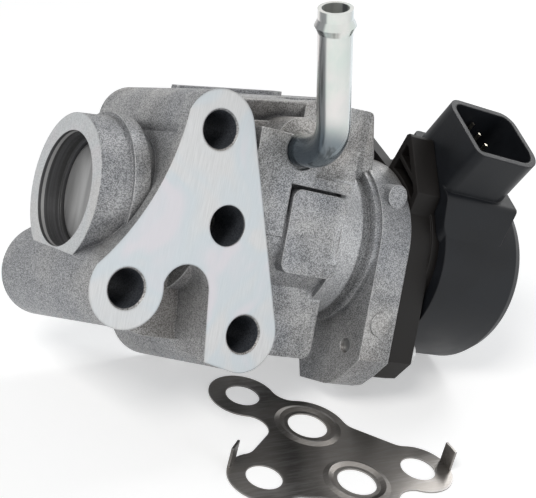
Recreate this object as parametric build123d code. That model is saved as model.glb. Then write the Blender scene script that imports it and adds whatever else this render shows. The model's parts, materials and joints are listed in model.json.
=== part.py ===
"""Exhaust gas recirculation valve: stepper-driven poppet in a water-cooled die-cast body.

Every piece is drawn in the valve's own axes, in millimetres: the origin is the centre of the
gas port on the front flange face, +X runs along the valve axis towards the motor, +Y runs back
from the flange face and +Z is up when the flange face is upright. At the end the whole valve is
laid on the bench as it lies loose, on its motor corner and the lower edge of its rear face.
"""
from build123d import *
import math
import os

# ---------------------------------------------------------------- flange and through bolts
BOLT_HOLE_R = 4.5               # M8 clearance
BOLT_CHAMFER = 0.5
LOBE_R = 9.3                    # pad round each bolt hole
BODY_DEPTH = 44.0               # front flange face to rear mounting face
HOLE_TOP = (-6.6, 21.3)         # hole centres across the flange, from the gas port
HOLE_LEFT = (-23.0, -17.6)
HOLE_RIGHT = (10.1, -24.7)
PAD_T = 3.0                     # machined pad of the front flange
PAD_STEP = 0.7                  # casting stands back from the pad's edge
WAIST_R = 62.0                  # hollow of the flange's left edge
WAIST_IN = 3.4                  # how far that hollow cuts in
NOTCH_X = -7.9                  # slot between the two lower lobes
NOTCH_TOP = -10.2
NOTCH_R = 6.2
NOTCH_LEAN = 8.0
NOTCH_DEPTH = 15.0              # to the web behind it
WEB_BOTTOM = -29.6
LEFT_BOSS_REAR = (-22.6, -19.4)     # cast draft of the bolt bosses: centre and radius behind
LEFT_BOSS_REAR_R = 11.5
RIGHT_BOSS_REAR = (10.1, -25.8)
RIGHT_BOSS_REAR_R = 12.3
REAR_PLATE_T = 6.0

# ---------------------------------------------------------------- gas and coolant ports
GAS_PORT_R = 4.85               # front port, at the origin
REAR_GAS_PORT = (-17.3, 5.2)
REAR_GAS_R = 4.95
REAR_WATER_PORT = (2.3, -7.2)
REAR_WATER_R = 5.2
GALLERY_R = 3.0                 # coolant way from that port to the jacket

# ---------------------------------------------------------------- valve axis and its stations
AXIS_Y = 23.5                   # valve axis behind the flange face
AXIS_Z = 1.6                    # and above the gas port
MOUTH_X = -31.2                 # machined face of the round end boss
MOUTH_R = 17.9
MOUTH_REAR_R = 18.7
STEP_X = -23.6                  # end of the boss's tapered side
STEP_R = 19.7
STEP_END_X = -19.6
BORE_R = 13.0
COUNTERBORE_R = 13.7
COUNTERBORE_L = 5.6
SEAT_BORE_R = 11.6
SEAT_X = -12.0                  # shoulder under the seat ring
SEAT_L = 5.0
SEAT_HOLE_R = 8.0
OUTLET_R = 10.0
OUTLET_END_X = 6.0
GUIDE_L = 15.0
GUIDE_R = 4.5
POCKET_R = 9.0                  # spring pocket
POCKET_X = 21.0
TOWER_R = 12.2
JACKET_R = 19.0
JACKET_X = 14.0
BARREL_R = 20.8
BARREL_X = -4.0
BAND_R = 22.4                   # wider band beside the collar
BAND_X = 34.6
COLLAR_R = 22.9
COLLAR_X = 45.3
GROOVE_W = 3.8
GROOVE_DEPTH = 1.4
GROOVE_SLOPE = 1.2

# ---------------------------------------------------------------- motor plate
PLATE_X = 47.0
PLATE_T = 10.0
PLATE_R = 23.6
FOOT = ((-0.1, -27.7), (4.3, -32.0), (8.5, -35.3), (12.0, -36.3), (22.6, -36.8), (24.2, -32.6),
        (36.0, -21.0))
BASE_FOOT = ((-0.1, -27.4), (5.2, -32.6), (9.0, -33.4), (22.0, -34.0), (24.0, -31.8),
             (36.0, -21.0))
EAR_R = 5.4                     # lobe round the upper screw
EAR_T = 4.2                     # of the moulded flange there
EAR = (29.0, 41.6, 35.6)        # its block on the casting: front, rear and top
PILOT_R = 20.2
PILOT_DEPTH = 8.0
SCREW_R = 2.0                   # M4
SCREW_GAP = 0.25
SCREW_HEAD_R = 3.4
SCREW_HEAD_H = 3.6
SCREW_GRIP = 9.0
SCREW_SPOTS = ((35.9, 30.5), (6.4, -25.0))
LUG = ((15.4, 21.8), (9.6, 32.6), (8.6, 32.9), (7.8, 32.2), (1.2, 17.6), (4.5, 6.0))
EJECTOR_R = 3.1
EJECTOR_SPOTS = ((51.9, 15.4, 2.4), (51.6, -17.9, -0.6))

# ---------------------------------------------------------------- front face of the barrel
CUSHION_X = (18.4, 35.4)        # raised rounded square
CUSHION_Z = (-8.6, 12.0)
CUSHION_Y = 1.6
WALL = ((6.0, -0.2), (17.5, -0.2), (17.5, 12.9), (24.2, 12.9), (24.2, 24.6), (6.0, 24.6))
WALL_FRONT = 2.2
LEDGE = ((24.0, 12.9), (36.4, 15.6))
LEDGE_FRONT = 2.8
LOW_BLOCK_X = (6.0, 37.4)
LOW_BLOCK_TOP = -10.4
LOW_BLOCK_BOTTOM = -30.0
LOW_BLOCK_FRONT = 8.0
WATER_BOSS_R = 8.0
WATER_BOSS_FRONT = 3.2
WATER_BLOCK_X = (8.0, 40.0)     # body behind the water boss
WATER_BLOCK_TOP = 24.6
WATER_BLOCK_FRONT = 6.4
DECK_LEFT = (0.0, 30.0)         # top deck: it climbs towards the motor
DECK_BREAK = (23.3, 34.0)       # then its front edge steps up to the end block
DECK_END = ((26.0, 35.0), (38.0, 35.6), (44.0, 35.9), (45.1, 35.6), (45.6, 34.8),
            (46.9, 29.0), (48.1, 24.6), (48.3, 10.0))
DECK_T = 6.4
DECK_LIP = 0.5                  # rim over the undercut below its front edge
DECK_UNDER = (4.8, 2.8)         # undercut: height and depth
DECK_UNDER_X = 23.7
DECK_FRONT = 10.4
DECK_RISE = 1.9                 # its top slopes up behind the front edge
DECK_REAR = 38.0
DECK_RIDGE = (46.3, 28.0)        # the slope runs on as a ridge at the back: its end, its front
DECK_STEP_X = 32.8              # raised strip along the rear edge
DECK_STEP = 1.1
DECK_STEP_FRONT = 35.0

# ---------------------------------------------------------------- coolant pipe
BODY_TOP = 60.0                 # above and beyond everything cast, for cutting
WATER_WALL = 2.2                # between gas chamber and rear water port
PIPE_R = 4.0
PIPE_BORE_R = 3.1
PIPE_SEAT = (19.0, 21.3)
PIPE_SEAT_L = 12.0
PIPE_OUT = 12.6                 # straight run out of the body
PIPE_BEND_R = 11.5
PIPE_LEG = 35.8
PIPE_POCKET = (0.9, 3.5)          # sunk ring round the pipe's root: width, floor
PIPE_LEAN_BACK = 28.4           # leg leans back over the flange, degrees
PIPE_LEAN_FRONT = 22.0          # and out to the front
BEAD_R = 4.75
BEAD_FROM_END = 3.9
BEAD_W = 3.2

# ---------------------------------------------------------------- valve train
PLUG_X = -25.2                  # outer face of the pressed cup
PLUG_L = 2.7
PLUG_WALL = 1.3
HEAD_R = 9.6
HEAD_T = 2.4
STEM_R = 2.5
SLIDE_GAP = 0.05                # radial clearance of every running fit
STEM_END_X = 47.0
SHIELD_R = 7.0
SHIELD_T = 1.2
SHIELD_L = 3.0
RETAINER_X = 43.0
RETAINER_R = 8.0
RETAINER_T = 2.6
SPRING_WIRE_R = 0.7
SPRING_R = 6.6
SPRING_TURNS = 6.0
JACKET_COVER_X = 41.0
JACKET_COVER_T = 2.0

# ---------------------------------------------------------------- motor
BASE_T = 8.5                    # black flange
BASE_INSET = 0.4
NOSE_R = 19.9
NOSE_L = 7.0
NOSE_BORE_R = 13.0
SEAL_R = 0.9                    # section of the o-ring
COVER_R = 26.7
COVER_DROP = 1.5                # the can's outside sits this much below the valve axis
COVER_X = 67.0
COVER_END_X = 98.4
COVER_ROUND = 4.0
SPIGOT_R = 23.9
SCREW_SHAFT_R = 3.0             # lead screw
SCREW_FLAT = 2.4
SCREW_SHAFT_END_X = 80.0
NUT_R = 5.4
NUT_X = (66.5, 79.0)
SLEEVE_R = 7.6
SLEEVE_X = (61.6, 87.6)
JOURNAL_R = 6.0
MAGNET_R = 11.2
MAGNET_X = (67.5, 83.5)
BEARING_R = 9.5
BEARING_L = 4.4
BEARING_X = 61.2
BALL_COUNT = 8
RACE_T = 1.1
REAR_BUSH_X = 84.6
REAR_JOURNAL_R = 3.6
REAR_BUSH_R = 5.6
REAR_BUSH_L = 6.0
STATOR_R = 22.6
STATOR_BORE_R = 11.7
STATOR_X = (65.6, 84.4)
YOKE_T = 1.2
BOBBIN_T = 1.0
BOBBIN_R = 19.0

# ---------------------------------------------------------------- connector
CONN_TILT = 42.0                # from upright towards the front
CONN_X = 78.5
CONN_MOUTH = (-1.3, 37.4)       # centre of the mouth
CONN_W = 25.6                   # across, along the valve axis
CONN_L = 22.4
CONN_WALL = 1.7
CONN_OUT = 43.5                 # mouth from the valve axis
CONN_ROUNDS = (5.6, 4.4, 8.0, 2.6)
CONN_DEPTH = 12.0
NECK_OUT = 29.5
NECK_W = 27.0
NECK_L = 25.5
NECK_SHIFT = 0.7
NECK_SKIRT = (20.7, 21.8)       # where its front slope meets the can
NECK_TAPER = 5.2
CONN_ROOT = 14.0                # inner end of neck and shroud
PIN_W = 0.8
PIN_PITCH = 4.2
PIN_OUT = 8.0
PIN_IN = 25.4

# ---------------------------------------------------------------- gasket on the bench
GASKET_T = 0.4
GASKET_BEAD_H = 0.5
GASKET_BEAD_W = 2.6
GASKET_LOBE_R = 9.1
GASKET_RING_R = 10.9
TAB_W = 4.2
TAB_H = 6.0
GASKET_AT = (34.9, -17.0)       # its gas-port point on the bench, from the valve's
GASKET_TURN = 59.7

# ---------------------------------------------------------------- rest on the bench
MOTOR_DIP = 11.19               # motor end hangs this much, degrees
REAR_DIP = 21.41                # and the rear face this much

VALVE_AXIS = Axis((0, AXIS_Y, AXIS_Z), (1, 0, 0))
PARTS = {}


# ================================================================ drawing helpers
def front(y):
    """Sketch plane across the flange at depth y: x to the motor, z up."""
    return Plane(origin=(0, y, 0), x_dir=(1, 0, 0), z_dir=(0, -1, 0))


def side(x):
    """Sketch plane across the valve axis at station x: y back, z up."""
    return Plane(origin=(x, 0, 0), x_dir=(0, 1, 0), z_dir=(1, 0, 0))


def back_from(sketch, y0, y1):
    return extrude(front(y0) * sketch, amount=-(y1 - y0))


def along(sketch, x0, x1):
    return extrude(side(x0) * sketch, amount=x1 - x0)


def on_axis(r, x0, x1):
    return along(Pos(AXIS_Y, AXIS_Z) * Circle(r), x0, x1)


def tube_on_axis(r_out, r_in, x0, x1):
    return along(Pos(AXIS_Y, AXIS_Z) * (Circle(r_out) - Circle(r_in)), x0, x1)


def turned(*profile):
    """Solid of revolution about the valve axis from (x, radius) corners."""
    plane = Plane(origin=(0, AXIS_Y, AXIS_Z), x_dir=(1, 0, 0), z_dir=(0, -1, 0))
    return revolve(plane * make_face(Polyline(*profile, close=True)), axis=VALVE_AXIS)


def rect(lo, hi):
    """Rectangle between two corners of a sketch."""
    size = (hi[0] - lo[0], hi[1] - lo[1])
    return Pos((hi[0] + lo[0]) / 2, (hi[1] + lo[1]) / 2) * Rectangle(*size)


def disc(at, r):
    return Pos(*at) * Circle(r)


def hull_of(*discs):
    return make_hull([edge for d in discs for edge in d.edges()])


def softened(sketch, r):
    """Rounds the inner corners of an outline."""
    return offset(offset(sketch, r, kind=Kind.ARC), -r, kind=Kind.ARC)


# ================================================================ outlines
def flange_outline(grow=0.0):
    """Front flange: three lobes, a hollow left edge and a slot between the lower lobes."""
    r = LOBE_R + grow
    shape = hull_of(disc(HOLE_TOP, r), disc(HOLE_LEFT, r), disc(HOLE_RIGHT, r))
    dx, dz = HOLE_LEFT[0] - HOLE_TOP[0], HOLE_LEFT[1] - HOLE_TOP[1]
    length = math.hypot(dx, dz)
    out = (dz / length, -dx / length)
    mid = ((HOLE_TOP[0] + HOLE_LEFT[0]) / 2, (HOLE_TOP[1] + HOLE_LEFT[1]) / 2)
    reach = r + WAIST_R - WAIST_IN
    shape -= disc((mid[0] + out[0] * reach, mid[1] + out[1] * reach), WAIST_R)
    return shape


def notch(grow=0.0):
    """Slot between the lower lobes, open all the way round the left one."""
    r = NOTCH_R - grow
    slot = disc((0, 0), r) + Pos(0, -LOBE_R * 2) * Rectangle(2 * r, LOBE_R * 4)
    slot = Pos(NOTCH_X, NOTCH_TOP - NOTCH_R) * Rot(0, 0, NOTCH_LEAN) * slot
    slot += rect((HOLE_LEFT[0] - LOBE_R, HOLE_LEFT[1] - 3 * LOBE_R), (NOTCH_X, HOLE_LEFT[1]))
    return slot - disc(HOLE_LEFT, LOBE_R + grow) - disc(HOLE_RIGHT, LOBE_R + grow)


def rear_outline(lobe=GASKET_LOBE_R, ring=GASKET_RING_R):
    """Rear mounting face and its gasket: three bolt lobes and two port rings."""
    top, left, right = (disc(p, lobe) for p in (HOLE_TOP, HOLE_LEFT, HOLE_RIGHT))
    gas, water = (disc(p, ring) for p in (REAR_GAS_PORT, REAR_WATER_PORT))
    web = 0.72
    shape = top + left + right + gas + water
    for a, b in ((HOLE_TOP, REAR_GAS_PORT), (REAR_GAS_PORT, HOLE_LEFT),
                 (REAR_WATER_PORT, HOLE_RIGHT), (HOLE_TOP, REAR_WATER_PORT),
                 (REAR_GAS_PORT, REAR_WATER_PORT), (HOLE_LEFT, REAR_WATER_PORT)):
        shape += hull_of(disc(a, lobe * web), disc(b, lobe * web))
    return softened(shape, 5.0)


def plate_outline():
    """Motor plate of the casting: round top about the valve axis, lobed foot, screw block."""
    shape = disc((AXIS_Y, AXIS_Z), PLATE_R) + foot(FOOT)
    return shape + rect((EAR[0], AXIS_Z), (EAR[1], EAR[2]))


def base_outline():
    """Moulded flange on it: the same circle with its own foot."""
    return disc((AXIS_Y, AXIS_Z), PLATE_R) + foot(BASE_FOOT)


def ear_outline():
    """The moulded flange's thinner ear, drawn out to the upper screw."""
    return hull_of(disc((AXIS_Y, AXIS_Z), PLATE_R - BASE_INSET - 0.1), disc(SCREW_SPOTS[0], EAR_R))


def foot(corners):
    left = (corners[0][0], AXIS_Z)
    return make_face(Polyline(left, *corners, (corners[-1][0], AXIS_Z), close=True))


def radial(x, out):
    """Plane across the connector, at a distance along it that reads CONN_OUT at the mouth."""
    a = math.radians(CONN_TILT)
    direction = (0, -math.sin(a), math.cos(a))
    back = out - CONN_OUT
    origin = (x, CONN_MOUTH[0] + direction[1] * back, CONN_MOUTH[1] + direction[2] * back)
    return Plane(origin=origin, x_dir=(1, 0, 0), z_dir=direction)


# ================================================================ the die-cast body
def casting():
    """Outer form: flange, bolt bosses, end boss, barrel, plate and the blocks on them."""
    body = back_from(flange_outline() - notch(), 0, PAD_T)
    inner = flange_outline(-PAD_STEP)
    body += back_from(inner - notch(-PAD_STEP), PAD_T, NOTCH_DEPTH)
    web = inner & rect((-BODY_TOP, WEB_BOTTOM), (BODY_TOP, BODY_TOP))
    body += back_from(web, NOTCH_DEPTH, BODY_DEPTH)
    body += back_from(disc(HOLE_TOP, LOBE_R - 0.1), PAD_T, BODY_DEPTH)
    for hole, rear, rear_r in ((HOLE_LEFT, LEFT_BOSS_REAR, LEFT_BOSS_REAR_R),
                               (HOLE_RIGHT, RIGHT_BOSS_REAR, RIGHT_BOSS_REAR_R)):
        body += loft([front(PAD_T) * disc(hole, LOBE_R - 0.1),
                      front(BODY_DEPTH) * disc(rear, rear_r)])
    body += back_from(rear_outline(), BODY_DEPTH - REAR_PLATE_T, BODY_DEPTH)
    body += turned((MOUTH_X, 0), (MOUTH_X, MOUTH_R), (STEP_X, MOUTH_REAR_R), (STEP_X, STEP_R),
                   (STEP_END_X, STEP_R), (STEP_END_X + 4, STEP_R - 3), (BARREL_X, STEP_R - 3),
                   (BARREL_X, BARREL_R), (BAND_X, BARREL_R), (BAND_X, BAND_R),
                   (COLLAR_X - GROOVE_W, BAND_R),
                   (COLLAR_X - GROOVE_W + GROOVE_SLOPE, BAND_R - GROOVE_DEPTH),
                   (COLLAR_X - GROOVE_SLOPE / 2, BAND_R - GROOVE_DEPTH), (COLLAR_X, COLLAR_R),
                   (PLATE_X + 1, COLLAR_R), (PLATE_X + 1, 0))
    body += along(plate_outline(), PLATE_X, PLATE_X + PLATE_T)
    body += blocks() + deck()
    return body


def blocks():
    """Raised square, the wall and ledge round it, lower block, water boss, ejector pads."""
    cushion = rect((CUSHION_X[0], CUSHION_Z[0]), (CUSHION_X[1], CUSHION_Z[1]))
    cushion = fillet(cushion.vertices(), 2.5)
    shape = back_from(cushion, CUSHION_Y, AXIS_Y - 8)
    low = rect((LOW_BLOCK_X[0], LOW_BLOCK_BOTTOM), (LOW_BLOCK_X[1], LOW_BLOCK_TOP))
    low = fillet(low.vertices().sort_by(Axis.Y)[:2], 3.0)
    shape += back_from(low, LOW_BLOCK_FRONT, BODY_DEPTH - 4)
    shape += back_from(disc(PIPE_SEAT, WATER_BOSS_R), WATER_BOSS_FRONT, AXIS_Y)
    water = rect((WATER_BLOCK_X[0], AXIS_Z), (WATER_BLOCK_X[1], WATER_BLOCK_TOP))
    shape += back_from(water, WATER_BLOCK_FRONT, AXIS_Y)
    for x, z, y in EJECTOR_SPOTS:
        shape += back_from(disc((x, z), EJECTOR_R), y, AXIS_Y - 6)
    shape += back_from(make_face(Polyline(*WALL, close=True)), WALL_FRONT, AXIS_Y - 8)
    return shape + back_from(rect(*LEDGE), LEDGE_FRONT, AXIS_Y - 8)


def deck():
    """Top deck: a bar that climbs towards the motor, its top sloping up behind the front edge."""
    (x0, z0), (x1, z1) = DECK_LEFT, DECK_BREAK
    bar = make_face(Polyline((x0, z0 - DECK_T), (x0, z0), (x1, z1), *DECK_END, (x0, AXIS_Z),
                             close=True))
    shape = back_from(bar, DECK_FRONT, DECK_REAR)
    wedge = Plane(origin=(x0, 0, 0), x_dir=(0, 1, 0), z_dir=(1, 0, 0)) * make_face(Polyline(
        (DECK_FRONT, z0 - 1), (DECK_FRONT, z0), (DECK_REAR, z0 + DECK_RISE),
        (DECK_REAR, z0 - 1), close=True))
    climb = Vector(x1 - x0, 0, z1 - z0)
    way = climb.normalized()
    end, front = DECK_RIDGE
    ridge = extrude(wedge, amount=end / way.X, dir=way)
    shape += extrude(wedge, amount=climb.length, dir=way)
    shape += ridge & back_from(rect((x0, AXIS_Z), (end, BODY_TOP)), front, DECK_REAR)
    raised = extrude(Pos(0, 0, DECK_STEP) * wedge, amount=DECK_STEP_X, dir=way)
    shape += raised & back_from(rect((x0, AXIS_Z), (end, BODY_TOP)), DECK_STEP_FRONT, DECK_REAR)
    high, deep = DECK_UNDER
    under = Plane(origin=(x0 - 1, 0, 0), x_dir=(0, 1, 0), z_dir=(1, 0, 0)) * make_face(Polyline(
        (DECK_FRONT - 1, z0 - DECK_LIP), (DECK_FRONT, z0 - DECK_LIP),
        (DECK_FRONT + deep, z0 - DECK_LIP - high), (DECK_FRONT - 1, z0 - DECK_LIP - high),
        close=True))
    return shape - extrude(under, amount=DECK_UNDER_X + 1, dir=climb.normalized())


def bores():
    """Everything cut from the casting, by drill or by core."""
    cuts = on_axis(COUNTERBORE_R, MOUTH_X - 1, MOUTH_X + COUNTERBORE_L)
    cuts += on_axis(BORE_R, MOUTH_X, SEAT_X)
    cuts += on_axis(SEAT_BORE_R, SEAT_X - 1, SEAT_X + SEAT_L)
    cuts += on_axis(OUTLET_R, SEAT_X + SEAT_L - 1, OUTLET_END_X)
    cuts += on_axis(GUIDE_R, OUTLET_END_X - 1, OUTLET_END_X + GUIDE_L + 1)
    cuts += on_axis(POCKET_R, POCKET_X, PLATE_X + PLATE_T + 1)
    cuts += tube_on_axis(JACKET_R, TOWER_R, JACKET_X, PLATE_X + PLATE_T + 1)
    cuts += on_axis(PILOT_R, PLATE_X + PLATE_T - PILOT_DEPTH, PLATE_X + PLATE_T + 1)
    cuts += back_from(disc((0, 0), GAS_PORT_R), -1, AXIS_Y - OUTLET_R / 2)
    cuts += back_from(disc(REAR_GAS_PORT, REAR_GAS_R), AXIS_Y + BORE_R / 2, BODY_DEPTH + 1)
    cuts += back_from(disc(REAR_WATER_PORT, REAR_WATER_R), water_y(), BODY_DEPTH + 1)
    gallery = disc((water_y() + GALLERY_R, REAR_WATER_PORT[1]), GALLERY_R)
    cuts += along(gallery, REAR_WATER_PORT[0], JACKET_X + 4)
    cuts += back_from(disc(PIPE_SEAT, PIPE_R + PIPE_POCKET[0]), -1, PIPE_POCKET[1])
    cuts += back_from(disc(PIPE_SEAT, PIPE_R), WATER_BOSS_FRONT - 1,
                      WATER_BOSS_FRONT + PIPE_SEAT_L)
    cuts += back_from(disc(PIPE_SEAT, PIPE_BORE_R), WATER_BOSS_FRONT, AXIS_Y + 4)
    for hole in (HOLE_TOP, HOLE_LEFT, HOLE_RIGHT):
        cuts += back_from(disc(hole, BOLT_HOLE_R), -1, BODY_DEPTH + 1)
        for y, way in ((0.0, 1), (BODY_DEPTH, -1)):
            rim = BOLT_HOLE_R + BOLT_CHAMFER
            cuts += loft([front(y - way * 0.01) * disc(hole, rim),
                          front(y + way * BOLT_CHAMFER) * disc(hole, BOLT_HOLE_R)])
    for y, z in SCREW_SPOTS:
        cuts += along(disc((y, z), SCREW_R), PLATE_X - 0.5, PLATE_X + PLATE_T + 1)
    return cuts


def water_y():
    """Bottom of the rear water port, clear of the gas chamber."""
    return AXIS_Y + OUTLET_R + WATER_WALL


def valve_housing():
    return casting() - bores()


# ================================================================ fixed pieces in the body
def bore_plug():
    """Pressed cup that closes the big bore, open towards the seat."""
    r = BORE_R
    return turned((PLUG_X, 0), (PLUG_X, r - 1.4), (PLUG_X + 0.45, r - 0.45), (PLUG_X + 1.4, r),
                  (PLUG_X + PLUG_L, r), (PLUG_X + PLUG_L, r - PLUG_WALL),
                  (PLUG_X + 1.9, r - PLUG_WALL), (PLUG_X + PLUG_WALL, r - 1.9),
                  (PLUG_X + PLUG_WALL, 0))


def valve_seat():
    """Hard seat ring with its conical face towards the bore mouth."""
    cone = HEAD_R - SEAT_HOLE_R
    return turned((SEAT_X, SEAT_BORE_R), (SEAT_X + SEAT_L, SEAT_BORE_R),
                  (SEAT_X + SEAT_L, SEAT_HOLE_R), (SEAT_X + cone, SEAT_HOLE_R),
                  (SEAT_X, HEAD_R))


def stem_guide():
    return tube_on_axis(GUIDE_R, STEM_R + SLIDE_GAP, OUTLET_END_X, OUTLET_END_X + GUIDE_L)


def deposit_shield():
    """Cup round the stem that keeps soot off the guide."""
    x = OUTLET_END_X - SHIELD_L
    return turned((x, STEM_R + 0.6), (x, SHIELD_R), (OUTLET_END_X, SHIELD_R),
                  (OUTLET_END_X, SHIELD_R - SHIELD_T), (x + SHIELD_T, SHIELD_R - SHIELD_T),
                  (x + SHIELD_T, STEM_R + 0.6))


def jacket_cover():
    """Pressed ring that closes the cored water jacket."""
    return tube_on_axis(JACKET_R, TOWER_R, JACKET_COVER_X, JACKET_COVER_X + JACKET_COVER_T)


def pipe_path():
    """Centre line of the coolant pipe: out of the body, one bend, then the leaning leg."""
    seat = Vector(PIPE_SEAT[0], WATER_BOSS_FRONT + PIPE_SEAT_L, PIPE_SEAT[1])
    corner = Vector(PIPE_SEAT[0], WATER_BOSS_FRONT - PIPE_OUT, PIPE_SEAT[1])
    back, out = math.tan(math.radians(PIPE_LEAN_BACK)), math.tan(math.radians(PIPE_LEAN_FRONT))
    leg = Vector(-back, -out, 1).normalized()
    return FilletPolyline(seat, corner, corner + leg * PIPE_LEG, radius=PIPE_BEND_R), leg


def coolant_pipe():
    path, leg = pipe_path()
    start, end = path @ 0, path @ 1
    pipe = sweep(Plane(origin=start, z_dir=path % 0) * Circle(PIPE_R), path=path)
    pipe += bead(end - leg * BEAD_FROM_END, leg)
    return pipe - sweep(Plane(origin=start, z_dir=path % 0) * Circle(PIPE_BORE_R), path=path)


def bead(at, way):
    """Rolled hose bead, a rounded ring about the pipe."""
    low = Plane(origin=at - way * (BEAD_W / 2), z_dir=way)
    mid = Plane(origin=at, z_dir=way)
    top = Plane(origin=at + way * (BEAD_W / 2), z_dir=way)
    return (loft([low * Circle(PIPE_R), mid * Circle(BEAD_R)])
            + loft([mid * Circle(BEAD_R), top * Circle(PIPE_R)]))


# ================================================================ valve train
def valve_head():
    """Poppet: conical edge on the seat ring, opening towards the bore mouth."""
    cone = HEAD_R - SEAT_HOLE_R
    face = SEAT_X + 0.02
    return turned((face - HEAD_T, STEM_R), (face - HEAD_T, HEAD_R - 0.4), (face - HEAD_T + 0.4, HEAD_R),
                  (face - 0.05, HEAD_R - 0.05), (face + cone - 0.05, SEAT_HOLE_R - 0.05),
                  (face + cone + 0.6, STEM_R + 1.2), (face + cone + 0.6, STEM_R))


def valve_stem():
    start = SEAT_X - HEAD_T - 0.8
    return turned((start, 0), (start, STEM_R - 0.4), (start + 0.4, STEM_R),
                  (STEM_END_X - 0.4, STEM_R), (STEM_END_X, STEM_R - 0.4), (STEM_END_X, 0))


def spring_retainer():
    """Dished collar pressed on the stem; the spring pushes it towards the motor."""
    x = RETAINER_X
    return turned((x, STEM_R), (x, RETAINER_R), (x - 1.6, RETAINER_R),
                  (x - 1.6, RETAINER_R + 0.5), (x + RETAINER_T, RETAINER_R + 0.5),
                  (x + RETAINER_T, STEM_R))


def return_spring():
    first = POCKET_X + SPRING_WIRE_R
    last = RETAINER_X - SPRING_WIRE_R
    pitch = (last - first) / SPRING_TURNS
    coil = Helix(pitch, last - first, SPRING_R)
    wire = sweep(Plane(origin=coil @ 0, z_dir=coil % 0) * Circle(SPRING_WIRE_R), path=coil,
                 is_frenet=True)
    return Pos(first, AXIS_Y, AXIS_Z) * Rot(0, 90, 0) * wire


def lead_screw():
    """Screw that pushes the stem; two flats keep it from turning in the motor flange."""
    flats = disc((AXIS_Y, AXIS_Z), SCREW_SHAFT_R) & (
        Pos(AXIS_Y, AXIS_Z) * Rectangle(2 * SCREW_FLAT, 4 * SCREW_SHAFT_R))
    end = NUT_X[0] - 0.1
    return on_axis(SCREW_SHAFT_R, end, SCREW_SHAFT_END_X) + along(flats, STEM_END_X, end)


# ================================================================ motor
def base_x():
    return PLATE_X + PLATE_T


def motor_flange():
    """Black moulded flange: nose in the housing, bearing seat, ribbed lug under the connector."""
    x0, x1 = base_x(), base_x() + BASE_T
    shape = along(offset(base_outline(), -BASE_INSET), x0, x1)
    shape += along(ear_outline() - disc((AXIS_Y, AXIS_Z), PLATE_R - 2.0), x0, x0 + EAR_T)
    shape += connector_lug(x0, x1)
    shape += tube_on_axis(NOSE_R, NOSE_BORE_R, x0 - NOSE_L, x0 + 1)
    shape += tube_on_axis(SPIGOT_R - 0.1, STATOR_R + 0.1, x1 - 1, COVER_X + 2.9)
    shape -= on_axis(NOSE_BORE_R, x0 - NOSE_L - 1, BEARING_X - 3.0)
    shape -= on_axis(BEARING_R, BEARING_X, x1 + 1)
    keyway = Pos(AXIS_Y, AXIS_Z) * Rectangle(2 * (SCREW_FLAT + SLIDE_GAP),
                                             2 * (SCREW_SHAFT_R + 0.3))
    shape -= along(keyway, x0 - NOSE_L - 1, x1 + 1)
    shape -= tube_on_axis(NOSE_R + 1, NOSE_R - 1.4, x0 - 4.4, x0 - 2.0)
    for y, z in SCREW_SPOTS:
        shape -= along(disc((y, z), SCREW_R + SCREW_GAP), x0 - 1, x1 + 1)
    return shape


def lug_outline():
    """Side view of the lug that carries the connector's neck."""
    return make_face(Polyline(*LUG, (AXIS_Y, AXIS_Z), close=True))


def connector_lug(x0, x1):
    lug = along(lug_outline(), x0 + 0.3, x1)
    pockets = along(offset(lug_outline(), -1.6), x0 - 1, x1 - 1.8)
    keep = on_axis(PLATE_R + 0.8, x0 - 2, x1 + 1)
    pockets -= keep
    for out in (27.0, 31.0):
        pockets -= extrude(radial((x0 + x1) / 2, out) * Rectangle(BASE_T + 6, 30), amount=1.0)
    return lug - pockets


def motor_o_ring():
    at = base_x() - 3.2
    ring = Plane(origin=(at, AXIS_Y, AXIS_Z + NOSE_R - 0.5), x_dir=(1, 0, 0), z_dir=(0, -1, 0))
    return revolve(ring * Circle(SEAL_R - 0.1), axis=VALVE_AXIS)


def shroud_section():
    """Connector section, each corner with its own rounding, from the one at back and left."""
    w, l = CONN_W / 2, CONN_L / 2
    shape = Rectangle(CONN_W, CONN_L)
    for (x, y), r in zip(((-w, l), (w, l), (w, -l), (-w, -l)), CONN_ROUNDS):
        corner = shape.vertices().sort_by_distance((x, y, 0))[0]
        shape = fillet(corner, r)
    return shape


def neck():
    """Root of the connector: a pad on the can, its front sloping down onto the round."""
    w, l = NECK_W / 2, NECK_L / 2
    reach, low = NECK_SKIRT
    rise = NECK_OUT - CONN_ROOT
    base = radial(CONN_X + NECK_SHIFT, CONN_ROOT)
    foot = make_face(Polyline((-w, l), (w, l), (w, -l), (w - NECK_TAPER, -reach), (-w, -reach),
                              close=True))
    foot = fillet(foot.vertices(), 3.0)
    side = Plane(origin=base.origin + base.x_dir * w, x_dir=-base.y_dir, z_dir=-base.x_dir)
    slope = make_face(Polyline((-l, 0), (-l, rise), (l, rise), (reach, low - CONN_ROOT),
                               (reach, 0), close=True))
    slope = fillet(slope.vertices().sort_by_distance((l, rise, 0))[0], 2.5)
    return extrude(base * foot, amount=rise) & extrude(side * slope, amount=NECK_W)


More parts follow.
